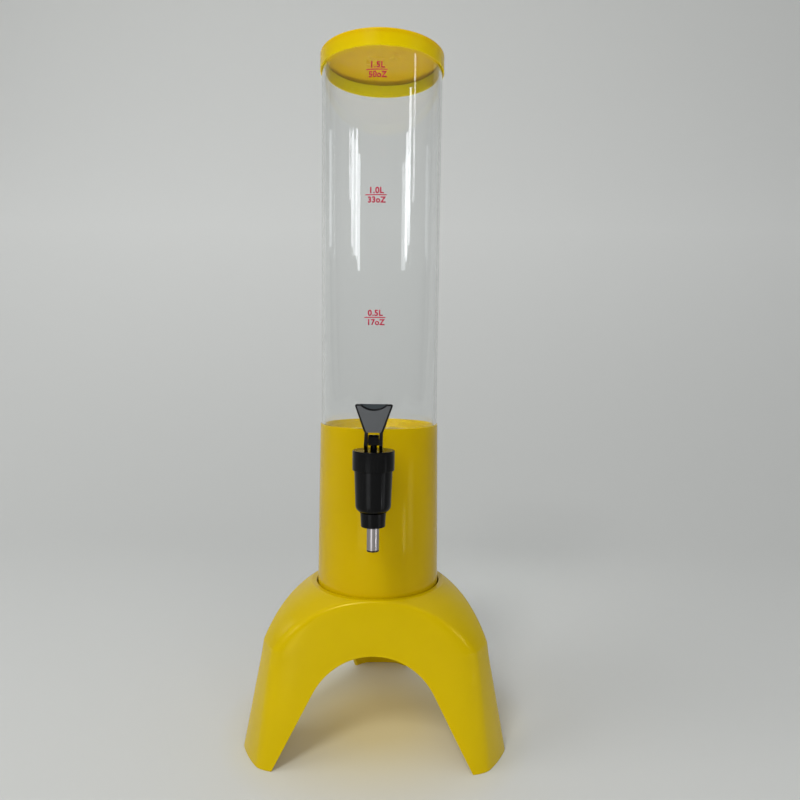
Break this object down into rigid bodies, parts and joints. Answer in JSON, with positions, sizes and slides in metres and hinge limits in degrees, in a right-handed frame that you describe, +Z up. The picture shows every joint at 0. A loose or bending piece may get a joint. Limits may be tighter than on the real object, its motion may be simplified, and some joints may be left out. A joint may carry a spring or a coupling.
{
  "type": "beer tower dispenser",
  "caption": "Table drink dispenser: a clear graduated tube on a coloured barrel with a black lever tap, standing on an arched stand with splayed legs, under a cap lid.",
  "frame": {"origin": "the point on the floor under the tube's axis, within the bounding box's bottom centre tolerance", "axes": "+Z up along the tube, -Y towards the tap and the person drawing a drink, +X to that person's right"},
  "size_m": [0.1968, 0.2062, 0.522],
  "materials": {
    "stand_plastic": "satin",
    "barrel_plastic": "gloss",
    "lid_plastic": "gloss",
    "clear_acrylic": "clear",
    "clear_silicone": "matte",
    "white_silicone": "matte",
    "black_rubber": "matte",
    "tap_plastic": "gloss",
    "handle_plastic": "satin",
    "spout_steel": "polished",
    "screw_steel": "satin"
  },
  "bodies": {
    "dispenser": {"base_stand": "stand_plastic", "base_screws": "screw_steel", "tank_barrel": "barrel_plastic", "tube_seal": "clear_silicone", "measuring_tube": "clear_acrylic", "tap_body": "tap_plastic", "outer_washer": "black_rubber", "inner_washer": "black_rubber", "shank_nut": "tap_plastic", "tap_bonnet": "tap_plastic", "spout_tube": "spout_steel", "seat_cup": "white_silicone"},
    "lid": {"lid": "lid_plastic"},
    "stem": {"tap_stem": "tap_plastic", "handle_pin": "screw_steel"},
    "handle": {"tap_handle": "handle_plastic"}
  },
  "joints": [
    {"name": "lid_lift", "type": "slide", "parent": "dispenser", "child": "lid", "axis": [0, 0, 1], "range_m": [0, 0.06]},
    {"name": "stem_lift", "type": "slide", "parent": "dispenser", "child": "stem", "axis": [0, 0, 1], "range_m": [0, 0.004], "deforming": ["seat_cup"]},
    {"name": "handle_tilt", "type": "hinge", "parent": "stem", "child": "handle", "pos_m": [0, -0.08648, 0.2374], "axis": [1, 0, 0], "range_deg": [0, 60], "stiffness_Nm_per_rad": 0.01, "springref_deg": -11.46}
  ],
  "couplings": [
    {"joint": "stem_lift", "follows": "handle_tilt", "m_per_rad": 0.0038197}
  ]
}
